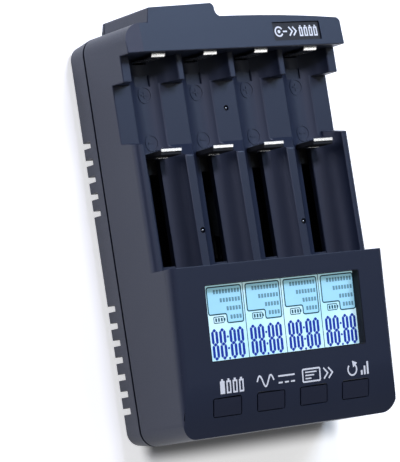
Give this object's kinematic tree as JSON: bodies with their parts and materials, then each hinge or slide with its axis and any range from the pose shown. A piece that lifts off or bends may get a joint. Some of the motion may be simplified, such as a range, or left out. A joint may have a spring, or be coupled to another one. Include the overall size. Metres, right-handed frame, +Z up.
{
  "type": "battery charger",
  "caption": "Flat dark battery charger with round-bottomed cell bays, spring-loaded sliders, a tilted display, flush buttons, side vents and a power inlet housing.",
  "frame": {"origin": "bottom centre of the bounding box, on the table under the rubber feet", "axes": "+X across the bays, +Y along the case towards the power inlet, +Z up, out of the face"},
  "size_m": [0.101, 0.1574, 0.0447],
  "materials": {
    "case_plastic": "fine satin moulding",
    "button_plastic": "satin moulding",
    "black_plastic": "matt black moulding",
    "label_plastic": "finely grained blank plate",
    "switch_plunger": "plain moulding",
    "rubber": "soft matt",
    "display_glass": "flat polished glass",
    "light_block": "diffusing",
    "board": "black solder mask",
    "nickel_sheet": "bright nickel plate",
    "spring_steel": "bright drawn wire",
    "screw_steel": "blackened",
    "bush_brass": "sintered",
    "chip_resin": "moulded resin",
    "coil_ferrite": "sintered",
    "capacitor_can": "sleeved can",
    "cable_plastic": "black ribbed flat cable"
  },
  "bodies": {
    "case": {"top_shell": "case_plastic", "bottom_shell": "case_plastic", "switch_1": "black_plastic", "slider_spring_1": "spring_steel", "positive_contact_1": "nickel_sheet", "foot_1": "rubber", "switch_2": "black_plastic", "slider_spring_2": "spring_steel", "positive_contact_2": "nickel_sheet", "foot_2": "rubber", "switch_3": "black_plastic", "slider_spring_3": "spring_steel", "positive_contact_3": "nickel_sheet", "foot_3": "rubber", "switch_4": "black_plastic", "slider_spring_4": "spring_steel", "positive_contact_4": "nickel_sheet", "foot_4": "rubber", "label_plate": "label_plastic", "lcd_gasket": "rubber", "lcd_glass": "display_glass", "lcd_backlight": "light_block", "lcd_connector": "rubber", "display_board": "board", "display_screws": "screw_steel", "main_board": "board", "board_screws": "screw_steel", "case_screws": "screw_steel", "fan_screws": "screw_steel", "fan_frame": "black_plastic", "fan_bush": "bush_brass", "dc_jack": "black_plastic", "jack_pin": "nickel_sheet", "controller_chip": "chip_resin", "power_coils": "coil_ferrite", "capacitors": "capacitor_can", "flat_cable": "cable_plastic"},
    "slider_body_1": {"slider_1": "black_plastic", "slider_contact_1": "nickel_sheet"},
    "button_body_1": {"button_1": "button_plastic", "plunger_1": "switch_plunger"},
    "slider_body_2": {"slider_2": "black_plastic", "slider_contact_2": "nickel_sheet"},
    "button_body_2": {"button_2": "button_plastic", "plunger_2": "switch_plunger"},
    "slider_body_3": {"slider_3": "black_plastic", "slider_contact_3": "nickel_sheet"},
    "button_body_3": {"button_3": "button_plastic", "plunger_3": "switch_plunger"},
    "slider_body_4": {"slider_4": "black_plastic", "slider_contact_4": "nickel_sheet"},
    "button_body_4": {"button_4": "button_plastic", "plunger_4": "switch_plunger"},
    "fan_rotor_body": {"fan_rotor": "black_plastic"}
  },
  "joints": [
    {"name": "slider_1_slide", "type": "slide", "parent": "case", "child": "slider_body_1", "axis": [0, -1, 0], "range_m": [0, 0.038], "stiffness_N_per_m": 60, "springref_m": -0.02, "deforming": ["slider_spring_1"]},
    {"name": "slider_2_slide", "type": "slide", "parent": "case", "child": "slider_body_2", "axis": [0, -1, 0], "range_m": [0, 0.038], "stiffness_N_per_m": 60, "springref_m": -0.02, "deforming": ["slider_spring_2"]},
    {"name": "slider_3_slide", "type": "slide", "parent": "case", "child": "slider_body_3", "axis": [0, -1, 0], "range_m": [0, 0.038], "stiffness_N_per_m": 60, "springref_m": -0.02, "deforming": ["slider_spring_3"]},
    {"name": "slider_4_slide", "type": "slide", "parent": "case", "child": "slider_body_4", "axis": [0, -1, 0], "range_m": [0, 0.038], "stiffness_N_per_m": 60, "springref_m": -0.02, "deforming": ["slider_spring_4"]},
    {"name": "button_1_press", "type": "slide", "parent": "case", "child": "button_body_1", "axis": [0, 0.0785, -0.9969], "range_m": [0, 0.0005], "stiffness_N_per_m": 1500, "springref_m": -0.0004},
    {"name": "button_2_press", "type": "slide", "parent": "case", "child": "button_body_2", "axis": [0, 0.0785, -0.9969], "range_m": [0, 0.0005], "stiffness_N_per_m": 1500, "springref_m": -0.0004},
    {"name": "button_3_press", "type": "slide", "parent": "case", "child": "button_body_3", "axis": [0, 0.0785, -0.9969], "range_m": [0, 0.0005], "stiffness_N_per_m": 1500, "springref_m": -0.0004},
    {"name": "button_4_press", "type": "slide", "parent": "case", "child": "button_body_4", "axis": [0, 0.0785, -0.9969], "range_m": [0, 0.0005], "stiffness_N_per_m": 1500, "springref_m": -0.0004},
    {"name": "fan_spin", "type": "hinge", "parent": "case", "child": "fan_rotor_body", "pos_m": [0, 0.004, 0.009], "axis": [0, 0, 1], "continuous": true}
  ]
}
